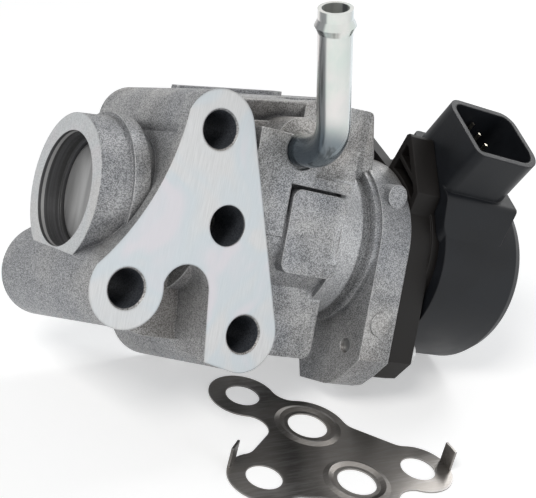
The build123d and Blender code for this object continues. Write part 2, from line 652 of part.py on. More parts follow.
def motor_cover():
    """Round can with the connector neck and shroud moulded on."""
    r = COVER_R
    can = turned((COVER_X, 0), (COVER_X, r), (COVER_END_X - COVER_ROUND, r),
                 (COVER_END_X - COVER_ROUND * 0.3, r - COVER_ROUND * 0.3),
                 (COVER_END_X, r - COVER_ROUND), (COVER_END_X, 0))
    shroud = extrude(radial(CONN_X, CONN_ROOT) * shroud_section(), amount=CONN_OUT - CONN_ROOT)
    shape = Pos(0, 0, -COVER_DROP) * can + neck() + shroud
    shape -= on_axis(SPIGOT_R - 0.05, base_x(), COVER_X + 3)
    shape -= on_axis(STATOR_R + 0.02, base_x(), STATOR_X[1])
    shape -= on_axis(REAR_BUSH_R, STATOR_X[1] - 1, REAR_BUSH_X + REAR_BUSH_L)
    socket = offset(shroud_section(), -CONN_WALL)
    shape -= extrude(radial(CONN_X, CONN_OUT - CONN_DEPTH) * socket, amount=CONN_DEPTH + 1)
    for i in range(-2, 3):
        shape -= pin_solid(i)
    return shape


def pin_solid(i):
    plane = radial(CONN_X, PIN_IN)
    length = CONN_OUT - CONN_DEPTH + PIN_OUT - PIN_IN
    return extrude(plane * (Pos(0, i * PIN_PITCH) * Rectangle(PIN_W, PIN_W)), amount=length)


def terminal_pins():
    return Part() + [pin_solid(i) for i in range(-2, 3)]


def motor_screws():
    heads = []
    for (y, z), grip in zip(SCREW_SPOTS, (EAR_T, BASE_T)):
        x = base_x() + grip
        shank = along(disc((y, z), SCREW_R), x - grip - SCREW_GRIP, x + 1)
        head = along(disc((y, z), SCREW_HEAD_R), x, x + SCREW_HEAD_H)
        socket = along(Pos(y, z) * RegularPolygon(1.7, 6), x + 1.6, x + SCREW_HEAD_H + 1)
        heads.append(shank + head - socket)
    return Part() + heads


def front_bearing_outer():
    x = BEARING_X
    ring = tube_on_axis(BEARING_R, BEARING_R - RACE_T, x, x + BEARING_L)
    return ring


def front_bearing_inner():
    x = BEARING_X
    return tube_on_axis(JOURNAL_R + RACE_T * 0.6, JOURNAL_R, x + 0.3, x + BEARING_L)


def front_bearing_balls():
    inner = JOURNAL_R + RACE_T * 0.6
    outer = BEARING_R - RACE_T
    mid = (inner + outer) / 2
    ball_r = (outer - inner) / 2 - 0.03
    balls = []
    for i in range(BALL_COUNT):
        a = math.tau * i / BALL_COUNT
        spot = (BEARING_X + BEARING_L / 2, AXIS_Y + mid * math.cos(a), AXIS_Z + mid * math.sin(a))
        balls.append(Pos(*spot) * Sphere(ball_r))
    return Part() + balls


def rotor_sleeve():
    """Moulded rotor hub: journals for both bearings, carries the nut and the magnet."""
    x0, x1 = SLEEVE_X
    outer = turned((x0, 0), (x0, JOURNAL_R), (BEARING_X + BEARING_L, JOURNAL_R),
                   (BEARING_X + BEARING_L, SLEEVE_R), (REAR_BUSH_X - 0.5, SLEEVE_R),
                   (REAR_BUSH_X - 0.5, REAR_JOURNAL_R), (x1, REAR_JOURNAL_R), (x1, 0))
    outer -= on_axis(SCREW_SHAFT_R + 0.5, x0 - 2, SCREW_SHAFT_END_X + 1)
    return outer - on_axis(NUT_R, *NUT_X)


def rotor_nut():
    return tube_on_axis(NUT_R, SCREW_SHAFT_R + SLIDE_GAP, *NUT_X)


def rotor_magnet():
    return tube_on_axis(MAGNET_R, SLEEVE_R, *MAGNET_X)


def rear_bush():
    return tube_on_axis(REAR_BUSH_R, REAR_JOURNAL_R + SLIDE_GAP, REAR_BUSH_X,
                        REAR_BUSH_X + REAR_BUSH_L)


def stack(index):
    """Start and end station of one of the two stator stacks."""
    half = (STATOR_X[1] - STATOR_X[0]) / 2
    return STATOR_X[0] + half * index, STATOR_X[0] + half * (index + 1)


def stator_yoke(index):
    x0, x1 = stack(index)
    shell = tube_on_axis(STATOR_R, STATOR_R - YOKE_T, x0, x1)
    for x in (x0, x1 - YOKE_T):
        shell += tube_on_axis(STATOR_R, STATOR_BORE_R, x, x + YOKE_T)
    return shell


def coil_bobbin(index):
    x0, x1 = stack(index)
    x0, x1 = x0 + YOKE_T, x1 - YOKE_T
    spool = tube_on_axis(STATOR_BORE_R + BOBBIN_T, STATOR_BORE_R, x0, x1)
    for x in (x0, x1 - BOBBIN_T):
        spool += tube_on_axis(BOBBIN_R, STATOR_BORE_R, x, x + BOBBIN_T)
    return spool


def coil_winding(index):
    x0, x1 = stack(index)
    inset = YOKE_T + BOBBIN_T
    return tube_on_axis(BOBBIN_R - 0.6, STATOR_BORE_R + BOBBIN_T, x0 + inset, x1 - inset)


# ================================================================ gasket
def mounting_gasket():
    """Beaded steel gasket for the rear face, with two clip tabs, lying flat on the bench."""
    sheet = rear_outline()
    holes = [(p, BOLT_HOLE_R) for p in (HOLE_TOP, HOLE_LEFT, HOLE_RIGHT)]
    holes += [(REAR_GAS_PORT, REAR_GAS_R), (REAR_WATER_PORT, REAR_WATER_R)]
    for at, r in holes:
        sheet -= disc(at, r)
    shape = extrude(sheet, amount=-GASKET_T)
    for at, r in holes[3:]:
        rim = r + 1.0
        ridge = Polyline((rim, -GASKET_T), (rim + GASKET_BEAD_W / 2, -GASKET_T - GASKET_BEAD_H),
                         (rim + GASKET_BEAD_W, -GASKET_T), close=True)
        shape += Pos(*at) * revolve(Plane.XZ * make_face(ridge), axis=Axis.Z)
    for at, angle in ((HOLE_TOP, 62.0), (HOLE_LEFT, -72.0)):
        tab = Pos(GASKET_LOBE_R - 0.5, 0, -TAB_H / 2) * Box(GASKET_T + 0.2, TAB_W, TAB_H)
        foot = Pos(GASKET_LOBE_R - 1.2, 0, -GASKET_T / 2) * Box(2.0, TAB_W, GASKET_T)
        shape += Pos(*at) * Rot(0, 0, angle) * (tab + foot)
    return shape


# ================================================================ laying it on the bench
def tilt():
    """The valve's own axes turned to the way it lies on the bench."""
    return Rot(0, MOTOR_DIP, 0) * Rot(-REAR_DIP, 0, 0)


def gasket_place(floor):
    """Face down on the bench, turned as it was lifted off."""
    return Pos(GASKET_AT[0], GASKET_AT[1], floor) * Rot(0, 0, GASKET_TURN) * Rot(180, 0, 0)


def build():
    make = {
        "valve_housing": valve_housing, "bore_plug": bore_plug, "valve_seat": valve_seat,
        "stem_guide": stem_guide, "deposit_shield": deposit_shield,
        "jacket_cover": jacket_cover, "coolant_pipe": coolant_pipe,
        "valve_head": valve_head, "valve_stem": valve_stem,
        "spring_retainer": spring_retainer, "return_spring": return_spring,
        "lead_screw": lead_screw, "motor_flange": motor_flange,
        "motor_o_ring": motor_o_ring, "motor_cover": motor_cover,
        "terminal_pins": terminal_pins, "motor_screws": motor_screws,
        "front_bearing_outer": front_bearing_outer,
        "front_bearing_inner": front_bearing_inner,
        "front_bearing_balls": front_bearing_balls,
        "rotor_sleeve": rotor_sleeve, "rotor_nut": rotor_nut, "rotor_magnet": rotor_magnet,
        "rear_bush": rear_bush,
    }
    for name, maker in make.items():
        PARTS[name] = tilt() * maker()
    for index, place in enumerate(("front", "rear")):
        PARTS["stator_yoke_" + place] = tilt() * stator_yoke(index)
        PARTS["coil_bobbin_" + place] = tilt() * coil_bobbin(index)
        PARTS["coil_winding_" + place] = tilt() * coil_winding(index)
    floor = min(part.bounding_box().min.Z for part in PARTS.values())
    PARTS["mounting_gasket"] = gasket_place(floor) * mounting_gasket()
    boxes = [part.bounding_box() for part in PARTS.values()]
    middle_x = (min(b.min.X for b in boxes) + max(b.max.X for b in boxes)) / 2
    middle_y = (min(b.min.Y for b in boxes) + max(b.max.Y for b in boxes)) / 2
    shift = Pos(-middle_x, -middle_y, -floor)
    os.makedirs("parts", exist_ok=True)
    for name, part in PARTS.items():
        export_step(shift * part, "parts/" + name + ".step")
    return shift


if __name__ == "__main__":
    build()
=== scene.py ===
"""Looks of the exhaust gas recirculation valve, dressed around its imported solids."""

import json
import math

import bpy
from mathutils import Matrix, Vector


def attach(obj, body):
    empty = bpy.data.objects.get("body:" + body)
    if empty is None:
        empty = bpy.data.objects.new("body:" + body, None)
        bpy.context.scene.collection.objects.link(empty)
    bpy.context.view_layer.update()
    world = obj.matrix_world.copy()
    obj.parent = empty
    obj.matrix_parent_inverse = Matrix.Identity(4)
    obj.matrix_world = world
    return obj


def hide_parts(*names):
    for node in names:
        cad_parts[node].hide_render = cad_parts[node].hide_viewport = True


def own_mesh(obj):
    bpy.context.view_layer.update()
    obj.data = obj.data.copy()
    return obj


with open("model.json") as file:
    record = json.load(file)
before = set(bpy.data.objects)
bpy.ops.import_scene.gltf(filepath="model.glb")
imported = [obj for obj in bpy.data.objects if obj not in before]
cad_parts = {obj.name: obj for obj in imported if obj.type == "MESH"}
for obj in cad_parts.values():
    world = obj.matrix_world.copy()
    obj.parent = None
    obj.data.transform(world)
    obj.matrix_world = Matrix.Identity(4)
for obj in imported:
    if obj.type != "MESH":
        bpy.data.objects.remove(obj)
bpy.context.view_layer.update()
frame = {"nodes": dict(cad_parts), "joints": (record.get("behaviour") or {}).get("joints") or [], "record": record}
NODES = frame["nodes"]
MM = 1000.0                     # millimetres in a metre

# ---------------------------------------------------------------- the valve's own axes
# x runs along the valve from the bore mouth to the motor, y from the mounting face
# to the rear face, z up the mounting face. The front gas port is at 0, 0, 0.
MOUNTS = {m["name"]: m for m in frame["record"]["mounts"]}
JOINTS = {j["name"]: j for j in frame["joints"]}
AXIS_X = Vector(JOINTS["rotor_spin"]["axis"]).normalized()
AXIS_Y = Vector(MOUNTS["rear_face"]["axis"]).normalized()
AXIS_Z = AXIS_X.cross(AXIS_Y).normalized()
PORT = MOUNTS["front_gas_port"]
ORIGIN = Vector(PORT["pos_m"]) - AXIS_Y * (PORT["dims"]["length_mm"] / 2 / MM)
TURN = Matrix((AXIS_X, AXIS_Y, AXIS_Z)).transposed()      # own axes -> row axes

# ---------------------------------------------------------------- places, own axes, mm
BARREL_Y, BARREL_Z = 23.5, 1.6          # axis of the bore, the poppet and the motor
FRONT_HALF_Y = 12.0                     # the barrel's front is nearer than this
SHOULDER_X = (31.8, 35.0, 40.5, 41.8)   # rounded shoulder, where a highlight is painted: fades in, full, full, fades out
SHOULDER_R = 22.8
GROOVE_X = (41.5, 42.5, 44.5, 45.2)     # groove behind the shoulder, where shade is painted
PAD_Y, PAD_X = 0.12, 30.0               # machined mounting face: depth and right end
MOUTH_X, MOUTH_R = -31.05, 19.0         # machined ring of the bore's mouth
REAR_Y = 43.92                          # machined rear face
BORE_X, BORE_R = -11.5, 13.78           # turned bore: its end and radius
BORE_STEP_X = (-30.4, -29.6)            # painted highlight on a step in the bore
HOLE_Y = 0.6                            # painted shade in the holes from here inwards
HOLES = (((-6.6, 21.3), 4.7), ((-23.0, -17.6), 4.7), ((10.1, -24.7), 4.7), ((0.0, 0.0), 5.0))
ELBOW_Z = (29.0, 22.5)                  # painted shade on the pipe, from here down to here

# the web on the motor plate: its front corners, how far it runs back, its edges' radius
GUSSET = ((51.0, 1.2, -1.2), (48.3, 1.2, -9.6), (52.6, 1.2, -9.1))
GUSSET_DEPTH = 6.0
GUSSET_ROUND = 0.4

SPRING_X = (21.0, 43.0)                 # return spring: pocket floor and retainer
SPRING_R, WIRE_R = 6.6, 0.7
SPRING_TURNS = 7.0                      # its closed ends counted in
END_SHARE = 0.09                        # share of the turns in each closed end
END_PITCH = 0.55                        # rise of a closed end, in wire diameters
SPRING_STEPS, WIRE_SIDES = 260, 10


def at(x, y, z):
    """Point given in the valve's own millimetres, in the row's metres."""
    return ORIGIN + TURN @ Vector((x, y, z)) / MM


# ---------------------------------------------------------------- shader helpers
class Nodes:
    """Short hand for building one material."""

    def __init__(self, name):
        self.mat = bpy.data.materials.new(name)
        self.mat.use_nodes = True
        self.tree = self.mat.node_tree
        self.shader = self.tree.nodes["Principled BSDF"]

    def new(self, kind, **values):
        node = self.tree.nodes.new(kind)
        for key, value in values.items():
            setattr(node, key, value)
        return node

    def link(self, a, b):
        self.tree.links.new(a, b)

    def feed(self, pairs):
        """Gives each socket its value: a number, a colour, or another node's output."""
        for socket, value in pairs:
            if isinstance(value, (int, float)):
                socket.default_value = value
            elif isinstance(value, tuple):
                socket.default_value = (*value, 1.0)
            elif value is not None:
                self.link(value, socket)

    def set(self, **values):
        """Constants on the shader's own sockets."""
        for key, value in values.items():
            self.shader.inputs[key.replace("_", " ")].default_value = value

    def paint(self, **sockets):
        """Node outputs into the shader's sockets."""
        for key, value in sockets.items():
            self.link(value, self.shader.inputs[key.replace("_", " ")])

    # coordinates
    def place(self, own_axes=True):
        """Coordinates in metres: the valve's own axes, or the row's."""
        coords = self.new("ShaderNodeTexCoord").outputs["Object"]
        if not own_axes:
            return coords
        mapping = self.new("ShaderNodeMapping", vector_type="TEXTURE")
        mapping.inputs["Location"].default_value = ORIGIN
        mapping.inputs["Rotation"].default_value = TURN.to_euler("XYZ")
        self.link(coords, mapping.inputs["Vector"])
        return mapping.outputs[0]

    def stretch(self, vector, scale, shift=(0, 0, 0)):
        node = self.new("ShaderNodeMapping")
        node.inputs["Scale"].default_value = scale
        node.inputs["Location"].default_value = shift
        self.link(vector, node.inputs["Vector"])
        return node.outputs[0]

    def split(self, vector):
        node = self.new("ShaderNodeSeparateXYZ")
        self.link(vector, node.inputs[0])
        return node.outputs

    def facing(self, direction):
        """Surface normal along a direction of the valve's own axes, -1..1."""
        node = self.new("ShaderNodeVectorMath", operation="DOT_PRODUCT")
        self.link(self.new("ShaderNodeNewGeometry").outputs["Normal"], node.inputs[0])
        node.inputs[1].default_value = TURN @ Vector(direction).normalized()
        return node.outputs["Value"]

    # numbers
    def math(self, op, a, b=None):
        node = self.new("ShaderNodeMath", operation=op)
        self.feed(zip(node.inputs, (a, b)))
        return node.outputs[0]

    def product(self, first, *others):
        for value in others:
            first = self.math("MULTIPLY", first, value)
        return first

    def either(self, first, *others):
        """1 where any of the masks is 1."""
        for value in others:
            first = self.math("MAXIMUM", first, value)
        return first

    def invert(self, value):
        return self.math("SUBTRACT", 1.0, value)

    def above(self, value, limit_mm):
        return self.math("GREATER_THAN", value, limit_mm / MM)

    def below(self, value, limit_mm):
        return self.math("LESS_THAN", value, limit_mm / MM)

    def reach(self, a, b, centre):
        """Distance in a plane from a centre given in mm."""
        squares = [self.math("POWER", self.math("SUBTRACT", value, middle / MM), 2.0)
                   for value, middle in zip((a, b), centre)]
        return self.math("SQRT", self.math("ADD", *squares))

    def ramp(self, value, low, high, out=(0.0, 1.0)):
        """Maps low..high of a value smoothly to an output range, held beyond it."""
        node = self.new("ShaderNodeMapRange", clamp=True, interpolation_type="SMOOTHSTEP")
        self.link(value, node.inputs["Value"])
        node.inputs["From Min"].default_value = low
        node.inputs["From Max"].default_value = high
        node.inputs["To Min"].default_value = out[0]
        node.inputs["To Max"].default_value = out[1]
        return node.outputs["Result"]

    def band(self, value, edges_mm):
        """1 between the middle two edges, fading to 0 at the outer two."""
        a, b, c, d = (edge / MM for edge in edges_mm)
        return self.math("MULTIPLY", self.ramp(value, a, b), self.ramp(value, d, c))

    # textures
    def noise(self, vector, scale, detail=2.0, rough=0.5, distort=0.0):
        node = self.new("ShaderNodeTexNoise")
        node.inputs["Scale"].default_value = scale
        node.inputs["Detail"].default_value = detail
        node.inputs["Roughness"].default_value = rough
        node.inputs["Distortion"].default_value = distort
        self.link(vector, node.inputs["Vector"])
        return node.outputs["Fac"]

    def cells(self, vector, scale):
        """Random grey of small cells, for a sparkling grain."""
        node = self.new("ShaderNodeTexVoronoi")
        node.inputs["Scale"].default_value = scale
        self.link(vector, node.inputs["Vector"])
        return self.split(node.outputs["Color"])[0]

    def closeness(self, distance, inside=False):
        """0 in the open, towards 1 near a hollow, or inside=True near an outer edge."""
        node = self.new("ShaderNodeAmbientOcclusion", samples=8, inside=inside, only_local=True)
        node.inputs["Distance"].default_value = distance
        return self.invert(node.outputs["AO"])

    # colours
    def mix(self, factor, a, b):
        node = self.new("ShaderNodeMix", data_type="RGBA", blend_type="MIX")
        self.feed(((node.inputs[0], factor), (node.inputs[6], a), (node.inputs[7], b)))
        return node.outputs[2]

    def tint(self, base, colour, mask, share):
        """Lays a colour over base where mask is 1, at a share of its strength."""
        return self.mix(self.math("MULTIPLY", mask, share), base, colour)

    def blend(self, factor, a, b):
        """Number version of mix."""
        node = self.new("ShaderNodeMix", data_type="FLOAT")
        self.feed(((node.inputs[0], factor), (node.inputs[2], a), (node.inputs[3], b)))
        return node.outputs[0]

    def bump(self, height, distance, strength, round_edges=None):
        node = self.new("ShaderNodeBump")
        node.inputs["Strength"].default_value = strength
        node.inputs["Distance"].default_value = distance
        self.link(height, node.inputs["Height"])
        if round_edges:
            bevel = self.new("ShaderNodeBevel", samples=6)
            bevel.inputs["Radius"].default_value = round_edges
            self.link(bevel.outputs[0], node.inputs["Normal"])
        return node.outputs[0]


def grey(v, warm=0.0):
    return (v * (1 + warm), v, v * (1 - warm))


# ---------------------------------------------------------------- colours and grain
SKIN_DARK, SKIN_PALE = grey(0.135), grey(0.42, 0.02)
SKIN_COLD, SKIN_WARM = (0.19, 0.205, 0.235), (0.37, 0.335, 0.305)
# painted shade for sides that face down and for sides that face left
SKIN_UNDER_SHADE, SKIN_LEFT_SHADE = (0.165, 0.178, 0.20), (0.19, 0.20, 0.215)
# painted highlight for the shoulder, painted shade for the groove behind it
SHOULDER_HIGHLIGHT, GROOVE_SHADE = (0.60, 0.61, 0.63), grey(0.10)
# painted shade for hollows, painted highlight for outer edges
HOLLOW_SHADE, CAST_EDGE_HIGHLIGHT = (0.035, 0.036, 0.042), grey(0.90)
MILLED_DULL, MILLED_BRIGHT = grey(0.56), grey(0.66)
MILLED_BLUE, MILLED_PINK = (0.52, 0.59, 0.63), (0.68, 0.61, 0.64)
MOUTH_DARK, MOUTH_PALE = grey(0.28), grey(0.55)
# painted shade inside the bore, painted highlight on its step
BORE_SHADE_DARK, BORE_SHADE_PALE, BORE_STEP_HIGHLIGHT = grey(0.055), (0.095, 0.095, 0.10), grey(0.45)
# painted shade inside the holes
HOLE_SHADE_DARK, HOLE_SHADE_PALE = (0.05, 0.056, 0.066), (0.13, 0.14, 0.16)
ZINC_GREEN, ZINC_GREY, ZINC_PINK = (0.66, 0.72, 0.68), (0.76, 0.76, 0.73), (0.78, 0.71, 0.72)
# painted reflections along the pipe's left and right, painted shade at its root
ZINC_DARK_REFLECTION, ZINC_BRIGHT_REFLECTION, ZINC_ROOT_SHADE = (0.13, 0.14, 0.15), (0.74, 0.80, 0.82), (0.11, 0.14, 0.17)
COVER_BLACK, FLANGE_BLACK = (0.0075, 0.0085, 0.0105), (0.0075, 0.0065, 0.006)
# scuffs, and a painted highlight for the moulding's edges
SCUFFED, MOULDED_EDGE_HIGHLIGHT = grey(0.10), grey(0.06)
# painted reflections for the gasket sheet
SHEET_DARK_REFLECTION, SHEET_PALE_REFLECTION = (0.075, 0.07, 0.065), (0.30, 0.28, 0.26)
# streaks, and a painted highlight for cut edges
SHEET_STREAK, SHEET_EDGE_HIGHLIGHT = grey(0.55), grey(0.45)
CELLS, SPECKS = 5200, 2600              # shot-blasted grain, per metre
HOLLOW_REACH, EDGE_REACH = 0.004, 0.0007        # m: how far the painted shade in hollows and the painted edge highlight spread
MOULDED_EDGE_REACH, SHEET_EDGE_REACH = 0.0004, 0.0005
CAST_ROUND, MOULDED_ROUND = 0.0006, 0.0005      # m: radius of softened edges
CAST_BUMP, CUP_BUMP, MOULDED_BUMP = 0.00010, 0.00005, 0.00006
SHEET_BUMP, PLAIN_BUMP = 0.00001, 0.00002


# ---------------------------------------------------------------- materials
def cast_skin(m, place, axes, radius, grain):
    """Shot-blasted casting: clouds, painted shade on sides facing down and left, a painted highlight on the
    barrel's shoulder, painted shade in the groove and in hollows, painted highlights on outer edges.
    """
    patch = m.noise(place, 95, detail=5, rough=0.62, distort=0.5)
    cloud = m.noise(m.stretch(place, (1, 1, 1), (0.4, 0.1, 0.7)), 34)
    skin = m.mix(m.ramp(patch, 0.36, 0.64), SKIN_DARK, SKIN_PALE)
    skin = m.tint(skin, SKIN_COLD, m.ramp(cloud, 0.46, 0.66), 0.6)
    skin = m.tint(skin, SKIN_WARM, m.ramp(cloud, 0.50, 0.34), 0.5)
    # painted shade: sides facing down and sides facing left are tinted darker and bluer
    down = m.ramp(m.facing((-0.35, 0.1, -1.0)), 0.15, 0.85)
    skin = m.tint(skin, SKIN_UNDER_SHADE, down, 0.5)
    left = m.ramp(m.facing((-1.0, 0.15, 0.1)), 0.55, 0.98)
    skin = m.tint(skin, SKIN_LEFT_SHADE, left, 0.45)
    # painted highlight on the shoulder, painted shade in the groove behind it
    front = m.below(axes[1], FRONT_HALF_Y)
    shoulder_highlight = m.product(m.band(axes[0], SHOULDER_X), front, m.below(radius, SHOULDER_R))
    skin = m.tint(skin, SHOULDER_HIGHLIGHT, shoulder_highlight, 0.55)
    # painted shade in the groove
    skin = m.tint(skin, GROOVE_SHADE, m.product(m.band(axes[0], GROOVE_X), front), 0.6)
    skin = m.mix(m.ramp(grain, 0.25, 0.75),
                 m.mix(0.42, skin, grey(0.04)), m.mix(0.24, skin, grey(0.95)))
    # painted shade in hollows, darker where the housing's own surfaces close in
    hollow = m.ramp(m.closeness(HOLLOW_REACH), 0.30, 0.72)
    skin = m.tint(skin, HOLLOW_SHADE, hollow, 0.62)
    # painted highlight along outer edges
    edge = m.ramp(m.closeness(EDGE_REACH, inside=True), 0.36, 0.62)
    return m.tint(skin, CAST_EDGE_HIGHLIGHT, edge, 0.75)


def milled(m, place, grain, mouth):
    """Machined face: fine scratches and a faint blue and pink sheen; the mouth is duller."""
    scratch = m.noise(m.stretch(place, (1.0, 1.0, 0.05)), 3600, detail=3, rough=0.7)
    sweep = m.noise(place, 45, distort=1.2)
    face = m.mix(m.ramp(scratch, 0.3, 0.75), MILLED_DULL, MILLED_BRIGHT)
    face = m.tint(face, MILLED_BLUE, m.ramp(sweep, 0.38, 0.55), 0.6)
    face = m.tint(face, MILLED_PINK, m.ramp(sweep, 0.52, 0.66), 0.55)
    return m.tint(face, m.mix(m.ramp(grain, 0.3, 0.7), MOUTH_DARK, MOUTH_PALE), mouth, 0.55)


def turned(m, place, axes):
    """Inside of the bore: rings of the cutter in painted shade, and a painted highlight on a step."""
    rings = m.noise(m.stretch(place, (1.0, 0.02, 0.02)), 1500, rough=0.6)
    bore = m.mix(m.ramp(rings, 0.35, 0.65), BORE_SHADE_DARK, BORE_SHADE_PALE)
    # painted highlight on the step
    step = m.product(m.above(axes[0], BORE_STEP_X[0]), m.below(axes[0], BORE_STEP_X[1]))
    return m.mix(step, bore, BORE_STEP_HIGHLIGHT)


def cast_aluminium():
    m = Nodes("cast_aluminium")
    place = m.place()
    axes = m.split(place)
    radius = m.reach(axes[1], axes[2], (BARREL_Y, BARREL_Z))
    fine = m.cells(place, CELLS)
    coarse = m.noise(place, SPECKS, detail=3, rough=0.7)
    grain = m.math("ADD", m.product(fine, 0.6), m.product(coarse, 0.4))
    # where it is machined: mounting face, mouth and rear face, bore, holes
    pad = m.product(m.below(axes[1], PAD_Y), m.below(axes[0], PAD_X))
    mouth = m.product(m.below(axes[0], MOUTH_X), m.below(radius, MOUTH_R),
                      m.math("GREATER_THAN", m.facing((-1, 0, 0)), 0.9995))
    face = m.either(pad, mouth, m.above(axes[1], REAR_Y))
    bore = m.product(m.below(radius, BORE_R), m.below(axes[0], BORE_X), m.invert(mouth))
    holes = m.product(
        m.either(*(m.below(m.reach(axes[0], axes[2], centre), r) for centre, r in HOLES)),
        m.above(axes[1], HOLE_Y))
    colour = m.mix(face, cast_skin(m, place, axes, radius, grain),
                   milled(m, place, grain, mouth))
    # the bore is painted in shade
    colour = m.mix(bore, colour, turned(m, place, axes))
    # painted shade inside the holes
    colour = m.mix(holes, colour, m.mix(m.ramp(coarse, 0.35, 0.65), HOLE_SHADE_DARK, HOLE_SHADE_PALE))
    rough = m.blend(face, m.ramp(grain, 0.3, 0.7, (0.58, 0.36)), 0.36)
    height = m.math("ADD", fine, m.product(coarse, 1.2))
    height = m.product(height, m.invert(m.product(m.either(face, bore, holes), 0.97)))
    m.paint(Base_Color=colour, Roughness=rough, Metallic=m.blend(face, 0.45, 0.2),
            Normal=m.bump(height, CAST_BUMP, 0.5, round_edges=CAST_ROUND))
    return m.mat


def pressed_cup():
    """Dull pressed sheet with faint rings."""
    m = Nodes("pressed_cup")
    rings = m.noise(m.stretch(m.place(), (1, 1, 0.15)), 260, detail=3)
    m.paint(Base_Color=m.mix(m.ramp(rings, 0.3, 0.7), grey(0.30), grey(0.50)),
            Normal=m.bump(rings, CUP_BUMP, 0.3, round_edges=MOULDED_ROUND))
    m.set(Metallic=0.7, Roughness=0.38)
    return m.mat


def zinc_pipe():
    """Bright zinc: a painted dark reflection along its left, pale green and pink between, a painted bright
    reflection at the right, painted shade at its root.
    """
    m = Nodes("zinc_plated")
    place = m.place()
    patch = m.noise(m.stretch(place, (1, 1, 0.35)), 190, detail=3, rough=0.6)
    wide = m.noise(place, 75, detail=1)
    colour = m.mix(m.ramp(patch, 0.35, 0.65), ZINC_GREEN, ZINC_GREY)
    colour = m.tint(colour, ZINC_PINK, m.ramp(wide, 0.45, 0.6), 0.4)
    # painted reflections: a dark band along the pipe's left, bright at its right
    side = m.facing((0.80, -0.57, 0.19))
    band = m.product(m.ramp(side, -0.95, -0.82), m.ramp(side, -0.45, -0.60))
    colour = m.tint(colour, ZINC_DARK_REFLECTION, band, 0.8)
    colour = m.mix(m.ramp(side, 0.70, 0.95), colour, ZINC_BRIGHT_REFLECTION)
    # painted shade at the pipe's root, on sides facing down
    root = m.ramp(m.split(place)[2], ELBOW_Z[0] / MM, ELBOW_Z[1] / MM)
    low = m.ramp(m.facing((0.3, -0.3, 1.0)), 0.85, 0.2)
    m.paint(Base_Color=m.tint(colour, ZINC_ROOT_SHADE, m.product(root, low), 0.85))
    m.set(Metallic=0.7, Roughness=0.16)
    return m.mat


def moulded(name, colour, rough):
    """Dark moulding: fine grain, uneven sheen, a few scuffs, painted highlights on its edges."""
    m = Nodes(name)
    place = m.place()
    fine = m.noise(place, 2200, rough=0.6)
    wide = m.noise(place, 60, detail=3, rough=0.6)
    scuff = m.noise(m.stretch(place, (0.12, 1.0, 1.0)), 900, detail=3, rough=0.7)
    # painted highlight along outer edges
    edge = m.ramp(m.closeness(MOULDED_EDGE_REACH, inside=True), 0.42, 0.7)
    skin = m.mix(m.ramp(wide, 0.35, 0.7), colour, tuple(v * 1.5 for v in colour))
    skin = m.tint(skin, SCUFFED, m.ramp(scuff, 0.72, 0.82), 0.3)
    skin = m.tint(skin, MOULDED_EDGE_HIGHLIGHT, edge, 0.35)
    m.paint(Base_Color=skin, Roughness=m.ramp(wide, 0.3, 0.7, (rough - 0.05, rough + 0.08)),
            Normal=m.bump(fine, MOULDED_BUMP, 0.35, round_edges=MOULDED_ROUND))
    m.set(Specular_IOR_Level=0.22)
    return m.mat


def sheet_steel():
    """Rolled sheet: long streaks, painted patches of dark and light reflection, painted highlights on its cut
    edges.
    """
    m = Nodes("gasket_steel")
    place = m.place(own_axes=False)
    streak = m.noise(m.stretch(place, (0.1, 1.0, 1.0)), 1500, detail=3, rough=0.6)
    wide = m.noise(place, 26, distort=0.6)
    edge = m.ramp(m.closeness(SHEET_EDGE_REACH, inside=True), 0.35, 0.7)
    # painted reflection: patches of dark and light
    sheet = m.mix(m.ramp(wide, 0.42, 0.60), SHEET_DARK_REFLECTION, SHEET_PALE_REFLECTION)
    sheet = m.tint(sheet, SHEET_STREAK, m.ramp(streak, 0.4, 0.7), 0.16)
    # painted highlight along cut edges
    sheet = m.tint(sheet, SHEET_EDGE_HIGHLIGHT, edge, 0.35)
    m.paint(Base_Color=sheet, Normal=m.bump(streak, SHEET_BUMP, 0.2))
    m.set(Metallic=0.9, Roughness=0.30)
    return m.mat


def plain(name, colour, rough, metallic=0.0):
    """Finish of an inner piece: one colour with a fine grain."""
    m = Nodes(name)
    fine = m.noise(m.place(), 1500)
    m.paint(Base_Color=m.mix(m.ramp(fine, 0.3, 0.7), tuple(v * 0.88 for v in colour), colour),
            Normal=m.bump(fine, PLAIN_BUMP, 0.2))
    m.set(Metallic=metallic, Roughness=rough)
    return m.mat


STEEL = plain("bright_steel", grey(0.55), 0.3, 1.0)
NATURAL = plain("natural_plastic", (0.62, 0.60, 0.52), 0.5)
STAINLESS = plain("stainless", grey(0.42, 0.02), 0.32, 1.0)
BRONZE = plain("bronze", (0.45, 0.30, 0.14), 0.4, 0.9)
YOKE = plain("yoke_steel", grey(0.45), 0.35, 1.0)
COPPER = plain("copper_winding", (0.45, 0.17, 0.07), 0.35, 0.8)
FINISH = {
    "valve_housing": cast_aluminium(),
    "bore_plug": pressed_cup(),
    "jacket_cover": plain("jacket_cover", grey(0.5), 0.4, 0.8),
    "coolant_pipe": zinc_pipe(),
    "mounting_gasket": sheet_steel(),
    "motor_cover": moulded("black_cover", COVER_BLACK, 0.42),
    "motor_flange": moulded("black_flange", FLANGE_BLACK, 0.5),
    "motor_o_ring": plain("seal_rubber", grey(0.02), 0.6),
    "terminal_pins": plain("tinned_brass", (0.62, 0.58, 0.48), 0.28, 1.0),
    "rotor_magnet": plain("ferrite", grey(0.05), 0.5),
    "stem_guide": BRONZE,
    "rear_bush": BRONZE,
}
for name in ("valve_seat", "valve_head", "valve_stem", "deposit_shield"):
    FINISH[name] = STAINLESS
for name in ("rotor_sleeve", "rotor_nut"):
    FINISH[name] = NATURAL
for end in ("front", "rear"):
    FINISH["coil_bobbin_" + end] = NATURAL
    FINISH["stator_yoke_" + end] = YOKE
    FINISH["coil_winding_" + end] = COPPER
